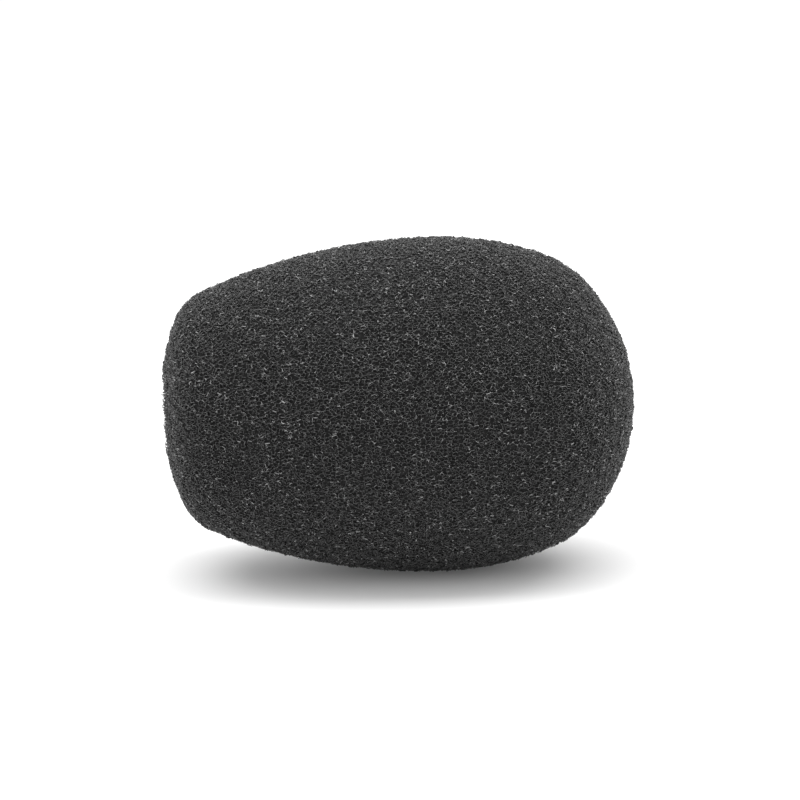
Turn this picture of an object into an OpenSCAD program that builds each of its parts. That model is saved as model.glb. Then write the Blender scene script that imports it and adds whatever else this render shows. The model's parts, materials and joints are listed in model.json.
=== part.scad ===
// Foam windscreen for a small gooseneck microphone.
// A barrel of open-cell foam has a blind bore, and a soft ring just inside the mouth grips the
// microphone's head. The bore's axis is X, with the mouth at x = 0 and the dome towards +X.
// All sizes are in millimetres.

/* [Foam body] */
// Length from the mouth to the tip of the dome
foam_length = 50; // [48:0.5:54]
// Radius at the belly, the widest place
belly_radius = 17.8; // [17:0.1:19]
// Distance from the mouth to the belly
belly_place = 29; // [28:0.5:31]
// Radius of the long, shallow curve between the mouth's corner and the belly
side_curve = 62; // [58:1:75]
// Radius of the rounded corner round the mouth
corner_curve = 5.8; // [4:0.1:7]
// Radius of the nearly flat face that the mouth is in
face_curve = 27; // [24:1:36]
// Radius of the curve between the belly and the dome's shoulder
front_curve = 34; // [32:1:40]
// Radius of the dome's shoulder
shoulder_curve = 12; // [10:0.5:13]
// Radius of the dome's cap
cap_curve = 19; // [18.5:0.5:21]

/* [Bore] */
// Diameter of the bore before a microphone stretches it
bore_diameter = 9; // [7:0.5:11]
// Depth of the bore, to its round end
bore_depth = 35; // [28:1:38]

/* [Retaining ring] */
// Length of the ring along the bore
ring_length = 6; // [4:0.5:9]
// Wall thickness of the ring
ring_wall = 1; // [0.8:0.1:1.6]
// Depth of foam lip in front of the ring
ring_recess = 1.2; // [0.8:0.1:2.5]
// Bevel that leads the microphone into the ring
ring_bevel = 0.4; // [0.2:0.1:0.6]
// Thickness of the glue between the ring and the foam
glue_gap = 0.05; // [0.02:0.01:0.1]

/* [Hidden] */
$fn = 96;

// The outline is a list of [radius from the axis, distance from the mouth].
bore_radius = bore_diameter / 2;
ring_radius = bore_radius + ring_wall;
// The face bulges past the mouth's lip by this much, where the bore has taken it away.
face_bulge = face_curve - sqrt(pow(face_curve, 2) - pow(bore_radius, 2));
face_centre = [0, face_curve - face_bulge];
side_centre = [belly_radius - side_curve, belly_place];
front_centre = [belly_radius - front_curve, belly_place];
cap_centre = [0, foam_length - cap_curve];
corner_centre = crossing(face_centre, face_curve - corner_curve, side_centre, side_curve - corner_curve, -1);
shoulder_centre = crossing(cap_centre, cap_curve - shoulder_curve, front_centre, front_curve - shoulder_curve, 1);
// Far enough to be outside the outline in every direction.
outside = 2 * foam_length;

// Where two circles cross; turn picks which of the two crossings.
function crossing(a, radius_a, b, radius_b, turn) =
    let (
        gap = norm(b - a),
        ahead = (b - a) / gap,
        along = (gap * gap + radius_a * radius_a - radius_b * radius_b) / (2 * gap),
        aside = sqrt(radius_a * radius_a - along * along)
    )
    a + along * ahead + turn * aside * [ahead[1], -ahead[0]];

// A point far out on the line from the hub through a given point.
function beyond(hub, point) = hub + outside * (point - hub) / norm(point - hub);

// The place where a small circle touches the inside of a large one.
function touching(large_centre, large_radius, small_centre) =
    large_centre + large_radius * (small_centre - large_centre) / norm(small_centre - large_centre);

// A slice of a disc, from the axis out to the arc between start and end.
module slice(centre, radius, start, end) {
    hub = [0, (start[1] + end[1]) / 2];
    intersection() {
        translate(centre)
            circle(r = radius);
        polygon([hub, beyond(hub, start), beyond(hub, end)]);
    }
}

// Half of the foam's outline: the chords between the places where the curves meet, and a slice for
// each curve.
module foam_outline() {
    mouth = [0, 0];
    face_end = touching(face_centre, face_curve, corner_centre);
    corner_end = touching(side_centre, side_curve, corner_centre);
    belly = [belly_radius, belly_place];
    shoulder_start = touching(front_centre, front_curve, shoulder_centre);
    shoulder_end = touching(cap_centre, cap_curve, shoulder_centre);
    tip = [0, foam_length];
    polygon([mouth, face_end, corner_end, belly, shoulder_start, shoulder_end, tip]);
    slice(face_centre, face_curve, mouth, face_end);
    slice(corner_centre, corner_curve, face_end, corner_end);
    slice(side_centre, side_curve, corner_end, belly);
    slice(front_centre, front_curve, belly, shoulder_start);
    slice(shoulder_centre, shoulder_curve, shoulder_start, shoulder_end);
    slice(cap_centre, cap_curve, shoulder_end, tip);
}

// Turns what stands along Z so that it lies along X.
module along_x() {
    rotate([0, 90, 0])
        children();
}

// The barrel of foam, with the bore and the wider seat for the ring.
module foam_body() {
    seat_radius = ring_radius + glue_gap;
    seat_length = ring_length + 2 * glue_gap;
    color([0.06, 0.06, 0.06])
        along_x()
            difference() {
                rotate_extrude()
                    foam_outline();
                translate([0, 0, -1])
                    cylinder(r = bore_radius, h = bore_depth - bore_radius + 1);
                translate([0, 0, bore_depth - bore_radius])
                    sphere(r = bore_radius);
                translate([0, 0, ring_recess - glue_gap])
                    cylinder(r = seat_radius, h = seat_length);
            }
}

// The soft ring, with a bevel at each end of its hole.
module retaining_ring() {
    color([0.02, 0.02, 0.02])
        along_x()
            translate([0, 0, ring_recess])
                difference() {
                    cylinder(r = ring_radius, h = ring_length);
                    translate([0, 0, -1])
                        cylinder(r = bore_radius, h = ring_length + 2);
                    cylinder(r1 = bore_radius + ring_bevel, r2 = bore_radius, h = ring_bevel);
                    translate([0, 0, ring_length - ring_bevel])
                        cylinder(r1 = bore_radius, r2 = bore_radius + ring_bevel, h = ring_bevel);
                }
}

foam_body();
retaining_ring();
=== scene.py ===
"""A foam microphone windscreen: open-cell foam built strut by strut, on a white studio floor.

The foam's skin is a network of Plateau borders, the three-sided struts that are left when the films
between foam's cells burst. The cells are the Voronoi cells of a body-centred lattice whose sites have
strayed, and the CAD's outline cuts them. Behind the skin, a bumpy heart fills the foam; it is coloured
darker than the struts, which is partly the foam's own black and partly painted shade of the foam
deeper down.
"""

import itertools
import json
import math

import bpy
import numpy as np
from mathutils import Matrix, Vector


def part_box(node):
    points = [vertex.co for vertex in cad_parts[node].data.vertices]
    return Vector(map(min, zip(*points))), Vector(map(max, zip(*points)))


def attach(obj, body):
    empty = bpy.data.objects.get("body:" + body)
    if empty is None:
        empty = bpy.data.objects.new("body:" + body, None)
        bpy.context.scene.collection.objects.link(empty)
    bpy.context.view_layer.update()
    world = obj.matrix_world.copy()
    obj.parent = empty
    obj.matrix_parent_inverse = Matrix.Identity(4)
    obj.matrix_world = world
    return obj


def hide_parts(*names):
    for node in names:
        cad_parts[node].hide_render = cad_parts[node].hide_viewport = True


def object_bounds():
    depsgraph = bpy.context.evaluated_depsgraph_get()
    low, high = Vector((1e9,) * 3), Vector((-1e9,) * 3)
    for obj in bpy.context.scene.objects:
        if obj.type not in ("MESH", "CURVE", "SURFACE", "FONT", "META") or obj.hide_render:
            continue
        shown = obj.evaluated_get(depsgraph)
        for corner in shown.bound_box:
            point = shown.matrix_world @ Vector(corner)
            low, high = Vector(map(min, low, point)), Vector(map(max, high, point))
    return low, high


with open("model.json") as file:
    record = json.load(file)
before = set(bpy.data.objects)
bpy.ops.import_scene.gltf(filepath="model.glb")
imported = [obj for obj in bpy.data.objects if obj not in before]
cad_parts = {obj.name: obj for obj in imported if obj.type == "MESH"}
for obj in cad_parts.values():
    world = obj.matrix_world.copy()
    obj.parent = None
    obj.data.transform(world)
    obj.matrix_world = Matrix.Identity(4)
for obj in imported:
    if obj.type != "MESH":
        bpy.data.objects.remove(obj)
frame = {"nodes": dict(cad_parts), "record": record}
cad_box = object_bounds()

MM = 0.001
SEED = 7

# The foam's cells
CELL = 0.40 * MM  # the side of a cube that holds two cells, before they are lengthened
LENGTHENED = np.array([1.4, 1.0, 1.0])  # how much longer the cells are along X than across
JITTER = 0.15  # how far a cell strays each way, as a share of CELL
FARTHEST_STEP = 11  # how far neighbours may be, as the square of a length in half cells
MARGIN = 1.5  # how far past the skin cells are grown, as a share of CELL
STRUT = 0.037 * MM  # from a strut's centre to the edges of its three-sided section
STRUT_RANGE = (0.85, 1.2)  # the thinnest and thickest junctions, as shares of STRUT
UNEVEN = 0.6  # how much each edge strays from that, as a share
NARROWEST = 0.5  # the sine of half the sharpest angle between two struts that gets a full film
SKIN = 0.33 * MM  # thickness of the layer of struts over the dark heart
RAGGED = 0.16 * MM  # how much the cut varies from strut to strut
RAGGED_INSIDE = 0.6  # the share of that which is inside the outline
UNDULATION = 0.07 * MM  # how much the cut varies over a few cells
UNDULATION_WIDTH = 1.3 * MM
SHORTEST_STUB, LONGEST_STUB = 0.2, 0.95  # how much of a cut strut is built, as a share of its length
PIECE_JUNCTIONS = 9500  # the most junctions in one piece of skin
LEAN = 0.5 * MM  # how far the mouth face leans back, at its lower edge
LEAN_LOW = 12 * MM  # how far that edge is under the axis
LEAN_MOST = 1.2  # the most lean under that, as a share of LEAN
LEAN_REACH = 10 * MM  # how far from the mouth the lean ends
# The kinds of strut, as (share of the struts, grey, roughness): plain, dull, and pale, a painted
# glint: a few struts coloured light grey to stand in for the glints that light makes on them
FINISHES_AND_GLINTS = [(0.74, 0.022, 0.15), (0.21, 0.014, 0.45), (0.05, 0.28, 0.10)]
HEART_STEP = 0.40 * MM  # spacing of the heart's mesh
HEART_BUMPS = 0.06 * MM  # height of the bumps on the heart
HEART_INSET = SKIN - 0.05 * MM  # depth of the heart under the outline
# the heart's greys: the foam's own black, darkened further as painted shade of the foam deeper down
HEART_PAINTED_SHADE_GREYS = (0.006, 0.014)

# The ring's rubber
RING_GREYS = (0.014, 0.024)
RING_SPOTS = 0.6 * MM  # width of the spots in its colour

# The view
DISTANCE = 0.30
ELEVATION = math.radians(10.0)
YAW = math.radians(3.0)
ROLL = math.radians(-1.25)
PICTURE_WIDTH = 85.3 * MM  # width of the scene across the picture, at the windscreen
AIM_RIGHT = 0.1 * MM
AIM_UP = 0.5 * MM

# The studio's light: all round, as (height, brightness), from level, 0, to straight up, 1; from the
# floor, which glows a little; and from a wide lamp overhead
ROUND_LIGHT = [(0, 1.1), (0.22, 1.1), (0.4, 1.25), (0.7, 1.25), (1, 1.1)]
FLOOR_SIZE = 12
FLOOR_GLOW = 0.06
OVERHEAD_SIZE = (1.0, 0.3)
OVERHEAD_HEIGHT = 0.5
OVERHEAD_WATTS = 3.2


def world_points(node):
    """The vertices of a CAD node in the row frame, one per row."""
    mesh = node.data
    points = np.empty(len(mesh.vertices) * 3, np.float32)
    mesh.vertices.foreach_get("co", points)
    turn = np.array(node.matrix_world, float)
    return points.reshape(-1, 3).astype(float) @ turn[:3, :3].T + turn[:3, 3]


def outline_of(node):
    """A turned node's outer outline, as rows of (place along X, radius), from the axis at the mouth
    to the tip. The outline is convex, so it is the upper hull of all the node's points."""
    points = world_points(node)
    flat = np.column_stack([points[:, 0], np.hypot(points[:, 1], points[:, 2])])
    flat = np.unique(np.round(flat / (0.002 * MM)), axis=0) * 0.002 * MM
    flat = np.vstack([[flat[:, 0].min(), 0.0], flat])
    hull = []
    for point in flat[np.lexsort((flat[:, 1], flat[:, 0]))]:
        while len(hull) > 1:
            (ax, ay), (bx, by) = hull[-2], hull[-1]
            if (bx - ax) * (point[1] - ay) - (by - ay) * (point[0] - ax) < 0:
                break
            hull.pop()
        hull.append(tuple(point))
    return np.array(hull)


def depth_below(outline, points):
    """How far each point is inside the outline turned about X."""
    flat = np.column_stack([points[:, 0], np.hypot(points[:, 1], points[:, 2])])
    steps = np.diff(outline, axis=0)
    normals = np.column_stack([-steps[:, 1], steps[:, 0]])
    normals /= np.linalg.norm(normals, axis=1, keepdims=True)
    offsets = np.sum(normals * outline[:-1], axis=1)
    depth = np.full(len(flat), np.inf)
    for normal, offset in zip(normals, offsets):
        np.minimum(depth, offset - flat @ normal, out=depth)
    return depth


def smooth_noise(points, wavelength, generator, waves=10):
    """A smooth vector field with values of about -1 to 1: a sum of sine waves in random directions."""
    field = np.zeros_like(points)
    for _ in range(waves):
        direction = unit(generator.normal(size=3))
        length = wavelength * generator.uniform(0.7, 1.5)
        phase = points @ (direction * 2 * math.pi / length) + generator.uniform(0, 2 * math.pi)
        field += np.outer(np.sin(phase), generator.normal(size=3))
    return field / math.sqrt(waves)


def unit(rows):
    """The directions of the rows' vectors."""
    return rows / np.linalg.norm(rows, axis=-1, keepdims=True)


def grow_cells(outline, generator):
    """The centres of the cells near the outline, and the neighbours each may share a film with.

    Cells start on a body-centred lattice, whose sites are all even or all odd in half cells, and
    then stray from it. Returns the centres, the lattice steps to the possible neighbours, nearest
    first, and the neighbours' numbers by step, or -1 where there is none."""
    half = CELL / 2
    reach = outline[:, 1].max()
    low = np.array([outline[:, 0].min(), -reach, -reach]) / LENGTHENED
    high = np.array([outline[:, 0].max(), reach, reach]) / LENGTHENED
    border = 6
    longest_step = 3
    first = np.floor(low / half).astype(int) - border
    last = np.ceil(high / half).astype(int) + border
    lattices = [
        np.stack(np.meshgrid(*[np.arange(a + (a + odd) % 2, b, 2) for a, b in zip(first, last)]), -1)
        for odd in (0, 1)
    ]
    sites = np.concatenate([lattice.reshape(-1, 3) for lattice in lattices])
    depth = depth_below(outline, sites * half * LENGTHENED)
    sites = sites[(depth > -MARGIN * CELL) & (depth < SKIN + MARGIN * CELL)]
    centres = sites * half + JITTER * CELL * generator.normal(size=sites.shape)

    steps = [
        np.array(step)
        for step in itertools.product(range(-longest_step, longest_step + 1), repeat=3)
        if len({c % 2 for c in step}) == 1 and 0 < np.dot(step, step) <= FARTHEST_STEP
    ]
    steps.sort(key=lambda step: step @ step)
    number_at = np.full(last - first + 2 * longest_step, -1)
    at = sites - first + longest_step
    number_at[tuple(at.T)] = np.arange(len(sites))
    neighbours = [number_at[tuple((at + step).T)] for step in steps]
    return centres, steps, neighbours


def find_junctions(outline, generator):
    """The junctions of the foam: the places as far from four cells as from each other, with no cell
    nearer. Returns the junctions' places, each one's four cells in rising order, and the centres."""
    centres, steps, neighbours = grow_cells(outline, generator)
    ways = [np.where(n[:, None] < 0, np.nan, centres[n] - centres) for n in neighbours]
    # Each junction is found from the first of its cells, so the other three lie at later steps.
    later = [k for k, step in enumerate(steps) if tuple(step) > (0, 0, 0)]
    places, cells = [], []
    for trio in itertools.combinations(later, 3):
        gaps = [steps[i] - steps[j] for i, j in itertools.combinations(trio, 2)]
        if max(gap @ gap for gap in gaps) > FARTHEST_STEP:
            continue
        rows, offsets = middles_of(*[ways[k] for k in trio])
        size = np.sum(offsets**2, axis=1)
        for k, way in enumerate(ways):
            if k not in trio:
                clear = ~(np.sum((way[rows] - offsets) ** 2, axis=1) < size)
                rows, offsets, size = rows[clear], offsets[clear], size[clear]
        places.append(centres[rows] + offsets)
        cells.append(np.column_stack([rows] + [neighbours[k][rows] for k in trio]))
    places = np.concatenate(places) * LENGTHENED
    return places, np.sort(np.concatenate(cells), axis=1), centres * LENGTHENED


def middles_of(a, b, c):
    """The centre of the sphere through the origin, a, b and c, for each row where it is near, and
    those rows' numbers. Rows whose four points are nearly in one plane have none."""
    across = np.cross(b, c)
    volume = 2 * np.sum(a * across, axis=1)
    rows = np.flatnonzero(np.abs(volume) > 1e-3 * CELL**3)
    a, b, c, across, volume = a[rows], b[rows], c[rows], across[rows], volume[rows]
    squares = [np.sum(v * v, axis=1)[:, None] for v in (a, b, c)]
    middle = squares[0] * across + squares[1] * np.cross(c, a) + squares[2] * np.cross(a, b)
    middle /= volume[:, None]
    near = np.sum(middle**2, axis=1) < CELL**2
    return rows[near], middle[near]


def join_junctions(cells):
    """The junction at the far end of each junction's four struts, or -1, and which of that one's
    struts it is. Strut k runs between the three cells other than cell k."""
    count = cells.max() + 1
    trios = np.stack([np.delete(cells, k, axis=1) for k in range(4)], axis=1)
    keys = ((trios[..., 0] * count + trios[..., 1]) * count + trios[..., 2]).ravel()
    order = np.argsort(keys, kind="stable")
    same = np.flatnonzero(keys[order][1:] == keys[order][:-1])
    far_end = np.full(len(keys), -1)
    far_end[order[same]] = order[same + 1]
    far_end[order[same + 1]] = order[same]
    mutual = (far_end >= 0) & (far_end[far_end] == np.arange(len(keys)))
    far_end = np.where(mutual, far_end, -1).reshape(-1, 4)
    return np.where(far_end < 0, -1, far_end // 4), far_end % 4


FILMS = list(itertools.combinations(range(4), 2))  # film n lies between these two of the four cells


def film_points(places, ways, thick, generator):
    """Each junction's six points, one in each film, half-way between the two struts that edge it.
    Points in a film between nearly opposite struts are nearer, and others farther."""
    points = np.empty((len(places), 6, 3))
    for number, film in enumerate(FILMS):
        i, j = [k for k in range(4) if k not in film]
        spread = np.maximum(np.linalg.norm(ways[:, i] - ways[:, j], axis=1) / 2, NARROWEST)
        size = thick * generator.uniform(1 - UNEVEN, 1 + UNEVEN, len(places)) / spread
        points[:, number] = places + unit(ways[:, i] + ways[:, j]) * size[:, None]
    return points


def strut_films(k):
    """The three films round strut k, in order round it, from the three cells that it runs between."""
    a, b, c = [cell for cell in range(4) if cell != k]
    return [FILMS.index(pair) for pair in ((a, b), (b, c), (a, c))]


def cell_films(cell):
    """The three films between one of a junction's cells and the others."""
    return [number for number, film in enumerate(FILMS) if cell in film]


def outward(triangles, points, away):
    """The triangles, turned over where they don't face the way they should."""
    a, b, c = [points[triangles[:, n]] for n in range(3)]
    wrong = np.sum(np.cross(b - a, c - a) * away, axis=1) < 0
    return np.where(wrong[:, None], triangles[:, ::-1], triangles)


def stub_ends(places, rings, along, reach):
    """The ends of cut struts: each junction's ring, moved by reach and squared off."""
    offsets = rings - places[:, None, :]
    offsets -= np.sum(offsets * along[:, None, :], axis=2, keepdims=True) * along[:, None, :]
    return places[:, None, :] + reach[:, None, :] + offsets


def skin_mesh(name, members, foam):
    """One closed piece of the network: the junctions in members, the struts between them, and stubs
    for the struts that the foam's surface or the piece's end cuts.

    Each junction has six points, one in each of its films. Each of its four cells gets a triangle,
    each strut three quads, and each open end a triangle."""
    local = np.full(len(foam["places"]), -1)
    local[members] = np.arange(len(members))
    places, points = foam["places"][members], foam["points"][members].reshape(-1, 3)
    first_point = 6 * np.arange(len(members))[:, None]
    triangles, quads, tips = [], [], []
    finish_or_glint = foam["finish_or_glint"][members]
    triangle_finish_or_glint, quad_finish_or_glint = [], []
    for k in range(4):
        away = foam["centres"][foam["cells"][members, k]] - places
        triangles.append(outward(first_point + cell_films(k), points, away))
        triangle_finish_or_glint.append(finish_or_glint)

        along = foam["ways"][members, k]
        ring = outward(first_point + strut_films(k), points, along)
        turned = ring[:, 0] != (first_point + strut_films(k))[:, 0]
        far, far_strut = foam["far"][members, k], foam["far_strut"][members, k]
        inside = (far >= 0) & (local[far] >= 0)
        far_ring = 6 * local[far][:, None] + np.array([strut_films(n) for n in range(4)])[far_strut]
        far_ring = np.where(turned[:, None], far_ring[:, ::-1], far_ring)
        once = inside & (far > members)
        quads.append(tube(ring[once], far_ring[once]))
        quad_finish_or_glint.append(np.repeat(finish_or_glint[once], 3))

        share = np.where(inside, 0.0, foam["share"][members, k])
        stub = share > 0
        reach = (foam["places"][far[stub]] - places[stub]) * share[stub][:, None]
        first_end = len(points) + 3 * sum(len(tip) for tip in tips)
        tips.append(stub_ends(places[stub], points[ring[stub]], along[stub], reach))
        ends = first_end + np.arange(3 * len(reach)).reshape(-1, 3)
        quads.append(tube(ring[stub], ends))
        quad_finish_or_glint.append(np.repeat(finish_or_glint[stub], 3))
        shut = ~inside & ~stub
        triangles += [ends, ring[shut]]
        triangle_finish_or_glint += [finish_or_glint[stub], finish_or_glint[shut]]
    vertices = np.vstack([points, np.concatenate(tips).reshape(-1, 3)])
    piece = build_mesh(name, vertices, np.vstack(triangles), np.vstack(quads))
    # the faces' kinds of strut, the pale kind a painted glint
    finishes_and_glints = np.concatenate(triangle_finish_or_glint + quad_finish_or_glint).astype(np.int32)
    piece.data.polygons.foreach_set("material_index", finishes_and_glints)
    return piece


def grow_foam(outline, bore_radius, lip, generator):
    """The foam's junctions and struts near the outline, and which of them the skin holds.

    lip is where the ring begins; up to there the bore's wall is skin too."""
    places, cells, centres = find_junctions(outline, generator)
    far, far_strut = join_junctions(cells)
    outer = depth_below(outline, places)
    radius = np.hypot(places[:, 1], places[:, 2])
    before_ring = places[:, 0] < lip
    depth = np.minimum(outer, np.where(before_ring, radius - bore_radius, np.inf))
    cut = RAGGED * (RAGGED_INSIDE - generator.uniform(0, 1, len(places)) ** 2)
    cut += UNDULATION * smooth_noise(places, UNDULATION_WIDTH, generator)[:, 0]
    kept = (depth > cut) & ((outer < SKIN) | before_ring & (radius < bore_radius + SKIN))
    # A strut with no far end points so as to balance the junction's others.
    lost = (far < 0)[:, :, None]
    ways = np.where(lost, 0, unit(places[far] - places[:, None, :]))
    ways = np.where(lost, -ways.sum(axis=1, keepdims=True), ways)
    thick = STRUT * generator.uniform(*STRUT_RANGE, len(places))
    # A strut that leaves the skin is built up to the foam's surface, or to the middle where two
    # pieces share it. One that leads inwards, or nowhere, is cut off at its junction.
    rise = np.maximum(depth[:, None] - depth[far], 1e-9)
    to_surface = np.clip((depth - cut)[:, None] / rise, 0, LONGEST_STUB)
    share = np.where(depth[far] < cut[far], to_surface, 0)
    share = np.where(kept[far], 0.5, share)
    share = np.where((far < 0) | (share < SHORTEST_STUB), 0, share)
    return {
        "places": places,
        "cells": cells,
        "centres": centres,
        "far": far,
        "far_strut": far_strut,
        "ways": ways,
        "points": film_points(places, ways, thick, generator),
        "share": share,
        "kept": kept,
        # which kind of strut each junction has; the pale kind is a painted glint
        "finish_or_glint": generator.choice(len(FINISHES_AND_GLINTS), len(places), p=[odds for odds, _, _ in FINISHES_AND_GLINTS]),
    }


def tube(near, far):
    """Three quads round each strut, facing outwards."""
    turned = [1, 2, 0]
    return np.stack([near, near[:, turned], far[:, turned], far], axis=-1).reshape(-1, 4)


def leaning(points):
    """The points as the foam rests: the lower half of the mouth face leans back a little."""
    low = np.clip(-points[:, 2] / LEAN_LOW, 0, LEAN_MOST)
    near = np.clip(1 - points[:, 0] / LEAN_REACH, 0, 1)
    return points + np.outer(LEAN * low * near**2, [1, 0, 0])


def build_mesh(name, vertices, triangles, quads):
    """A smooth mesh object from arrays of vertices, triangles and quads."""
    vertices = leaning(vertices)
    mesh = bpy.data.meshes.new(name)
    corners = np.concatenate([triangles.ravel(), quads.ravel()]).astype(np.int32)
    starts = np.concatenate([
        3 * np.arange(len(triangles)),
        3 * len(triangles) + 4 * np.arange(len(quads)),
    ]).astype(np.int32)
    mesh.vertices.add(len(vertices))
    mesh.vertices.foreach_set("co", vertices.astype(np.float32).ravel())
    mesh.loops.add(len(corners))
    mesh.loops.foreach_set("vertex_index", corners)
    mesh.polygons.add(len(starts))
    mesh.polygons.foreach_set("loop_start", starts)
    mesh.polygons.foreach_set("use_smooth", np.ones(len(starts), bool))
    mesh.update(calc_edges=True)
    mesh.validate()
    piece = bpy.data.objects.new(name, mesh)
    bpy.context.scene.collection.objects.link(piece)
    return piece


def resampled(line, step):
    """Points along a polyline, evenly spaced, about one step apart."""
    lengths = np.concatenate([[0], np.cumsum(np.linalg.norm(np.diff(line, axis=0), axis=1))])
    places = np.linspace(0, lengths[-1], max(2, round(lengths[-1] / step) + 1))
    return np.column_stack([np.interp(places, lengths, line[:, i]) for i in range(line.shape[1])])


def heart_outline(outline, bore_radius, bore_length, ring_low, ring_high):
    """The foam behind the skin, as an outline from the bore's round end, past the ring and its lip
    to the mouth, and round to the tip of the dome."""
    turns = np.linspace(0, math.pi / 2, 12)[:-1]
    round_end = np.column_stack([
        bore_length + bore_radius * np.cos(turns),
        bore_radius * np.sin(turns),
    ])
    outer = resampled(outline[1:], HEART_STEP)
    steps = np.gradient(outer, axis=0)
    inward = unit(np.column_stack([steps[:, 1], -steps[:, 0]]))
    outer = outer + HEART_INSET * inward
    lip = bore_radius + HEART_INSET
    outer = outer[outer[:, 1] > lip]
    seat = np.array([
        [bore_length, bore_radius],
        [ring_high.x, bore_radius],
        [ring_high.x, ring_high.z],
        [ring_low.x, ring_high.z],
        [ring_low.x, lip],
        [outer[0, 0], lip],
    ])
    tip = np.array([[outline[-1, 0] - HEART_INSET, 0.0]])
    return np.vstack([round_end, resampled_runs(seat), outer[1:], tip])


def resampled_runs(corners):
    """Each straight run between corners, in steps of the heart's mesh."""
    runs = [resampled(np.array(pair), HEART_STEP)[:-1] for pair in zip(corners, corners[1:])]
    return np.vstack(runs + [corners[-1:]])


def heart_mesh(name, line, generator):
    """The heart: the line turned about X, with bumps about as wide as a cell."""
    around = round(2 * math.pi * line[:, 1].max() / HEART_STEP)
    turns = np.arange(around) * 2 * math.pi / around
    rings = line[1:-1]
    vertices = np.stack([
        np.broadcast_to(rings[:, :1], (len(rings), around)),
        rings[:, 1:] * np.cos(turns),
        rings[:, 1:] * np.sin(turns),
    ], axis=-1).reshape(-1, 3)
    ends = np.array([[line[0, 0], 0, 0], [line[-1, 0], 0, 0]])
    vertices = np.vstack([vertices, ends])
    vertices += HEART_BUMPS * smooth_noise(vertices, CELL, generator)
    rows = np.arange(len(rings))[:, None] * around
    here = np.arange(around)
    after = (here + 1) % around
    quads = np.stack([
        rows[:-1] + here, rows[:-1] + after, rows[1:] + after, rows[1:] + here,
    ], axis=-1).reshape(-1, 4)
    start, end = len(vertices) - 2, len(vertices) - 1
    caps = np.vstack([
        np.column_stack([np.full(around, start), after, here]),
        np.column_stack([np.full(around, end), rows[-1] + here, rows[-1] + after]),
    ])
    return build_mesh(name, vertices, caps, quads)


def grey_material(name, grey, roughness, specular):
    """A plain material of one grey."""
    material = bpy.data.materials.new(name)
    material.use_nodes = True
    shader = material.node_tree.nodes["Principled BSDF"]
    shader.inputs["Base Color"].default_value = (grey, grey, grey, 1)
    shader.inputs["Roughness"].default_value = roughness
    shader.inputs["Specular IOR Level"].default_value = specular
    return material


def mottled_material(name, greys, width, roughness, specular):
    """A material coloured by soft spots of about the given width, between two greys."""
    material = grey_material(name, greys[0], roughness, specular)
    nodes, links = material.node_tree.nodes, material.node_tree.links
    place = nodes.new("ShaderNodeTexCoord")
    spots = nodes.new("ShaderNodeTexNoise")
    spots.inputs["Scale"].default_value = 1 / width
    ramp = nodes.new("ShaderNodeValToRGB")
    for stop, position, grey in zip(ramp.color_ramp.elements, (0.35, 0.65), greys):
        stop.position = position
        stop.color = (grey, grey, grey, 1)
    links.new(place.outputs["Object"], spots.inputs["Vector"])
    links.new(spots.outputs["Fac"], ramp.inputs["Fac"])
    links.new(ramp.outputs["Color"], nodes["Principled BSDF"].inputs["Base Color"])
    return material


def strut_materials():
    """The struts' materials, in the order of the kinds of strut listed above; the pale kind is a
    painted glint.
    """
    return [
        grey_material(f"foam_struts_{number}", grey, roughness, 1.0)
        for number, (_, grey, roughness) in enumerate(FINISHES_AND_GLINTS, 1)
    ]


def dress_foam(piece, materials):
    """Give a piece of foam its materials, attach it to the root body, and hide the CAD's foam body."""
    for material in materials:
        piece.data.materials.append(material)
    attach(piece, "root")
    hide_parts("foam_body")


def build_foam():
    """The skin, in pieces from the mouth to the tip, and the heart."""
    generator = np.random.default_rng(SEED)
    outline = outline_of(frame["nodes"]["foam_body"])
    bore = frame["record"]["mounts"][0]["dims"]
    bore_radius, bore_length = bore["r_mm"] * MM, bore["length_mm"] * MM
    ring_low, ring_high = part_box("retaining_ring")
    foam = grow_foam(outline, bore_radius, ring_low.x, generator)
    members = np.flatnonzero(foam["kept"])
    members = members[np.argsort(foam["places"][members, 0], kind="stable")]
    parts = math.ceil(len(members) / PIECE_JUNCTIONS)
    finishes_and_glints = strut_materials()
    for number, part in enumerate(np.array_split(members, parts), 1):
        dress_foam(skin_mesh(f"foam_skin_{number}", np.sort(part), foam), finishes_and_glints)

    line = heart_outline(outline, bore_radius, bore_length, ring_low, ring_high)
    heart = heart_mesh("foam_heart", line, generator)
    # the heart is coloured darker than the struts: painted shade of the deeper foam
    dress_foam(heart, [mottled_material("foam_heart", HEART_PAINTED_SHADE_GREYS, CELL, 0.9, 0.2)])


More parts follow.
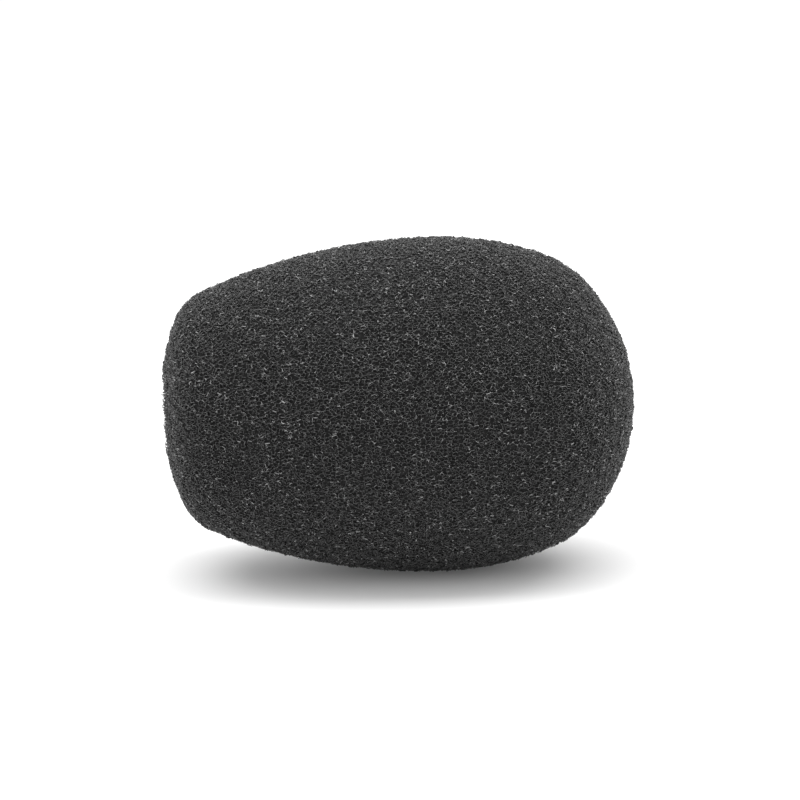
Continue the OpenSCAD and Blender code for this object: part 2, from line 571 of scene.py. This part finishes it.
def round_light():
    """A white world whose brightness depends on the height above the horizon."""
    world = bpy.data.worlds.new("studio")
    world.use_nodes = True
    nodes, links = world.node_tree.nodes, world.node_tree.links
    nodes["Background"].inputs["Color"].default_value = (1, 1, 1, 1)
    way = nodes.new("ShaderNodeTexCoord")
    split = nodes.new("ShaderNodeSeparateXYZ")
    brightness = nodes.new("ShaderNodeFloatCurve")
    brightness.mapping.use_clip = False
    curve = brightness.mapping.curves[0]
    curve.points[0].location = ROUND_LIGHT[0]
    curve.points[1].location = ROUND_LIGHT[-1]
    for height, level in ROUND_LIGHT[1:-1]:
        curve.points.new(height, level)
    for point in curve.points:
        point.handle_type = "VECTOR"
    brightness.mapping.update()
    links.new(way.outputs["Generated"], split.inputs["Vector"])
    links.new(split.outputs["Z"], brightness.inputs["Value"])
    links.new(brightness.outputs["Value"], nodes["Background"].inputs["Strength"])
    return world


def build_studio():
    """The white floor under the windscreen, the light all round and the lamp overhead."""
    low, high = cad_box
    bpy.ops.mesh.primitive_plane_add(size=FLOOR_SIZE, location=(0, 0, low.z))
    floor = bpy.context.object
    floor.name = "floor"
    white = grey_material("floor", 0.8, 0.8, 0.0)
    shader = white.node_tree.nodes["Principled BSDF"]
    shader.inputs["Emission Color"].default_value = (1, 1, 1, 1)
    shader.inputs["Emission Strength"].default_value = FLOOR_GLOW
    floor.data.materials.append(white)
    bpy.context.scene.world = round_light()
    light = bpy.data.lights.new("overhead", "AREA")
    light.shape = "RECTANGLE"
    light.size, light.size_y = OVERHEAD_SIZE
    light.energy = OVERHEAD_WATTS
    lamp = bpy.data.objects.new("overhead", light)
    lamp.location = ((low.x + high.x) / 2, 0, OVERHEAD_HEIGHT)
    bpy.context.scene.collection.objects.link(lamp)


def build_camera():
    """The camera, in front of the windscreen and a little over it."""
    low, high = cad_box
    data = bpy.data.cameras.new("camera")
    camera = bpy.data.objects.new("camera", data)
    bpy.context.scene.collection.objects.link(camera)
    data.sensor_width = 36
    data.lens = data.sensor_width * DISTANCE / PICTURE_WIDTH
    data.clip_start = 0.01
    out = Vector((
        -math.sin(YAW) * math.cos(ELEVATION),
        -math.cos(YAW) * math.cos(ELEVATION),
        math.sin(ELEVATION),
    ))
    turn = out.to_track_quat("Z", "Y").to_matrix() @ Matrix.Rotation(ROLL, 3, "Z")
    middle = (low + high) / 2 + turn @ Vector((AIM_RIGHT, AIM_UP, 0))
    camera.matrix_world = Matrix.Translation(middle + DISTANCE * out) @ turn.to_4x4()
    bpy.context.scene.camera = camera


def paint_ring():
    """The CAD's ring as it is, in rubber."""
    ring = frame["nodes"]["retaining_ring"]
    ring.data.materials.clear()
    ring.data.materials.append(mottled_material("ring_rubber", RING_GREYS, RING_SPOTS, 0.45, 0.5))


build_foam()
paint_ring()
build_studio()
build_camera()
bpy.context.scene.view_settings.view_transform = "Standard"
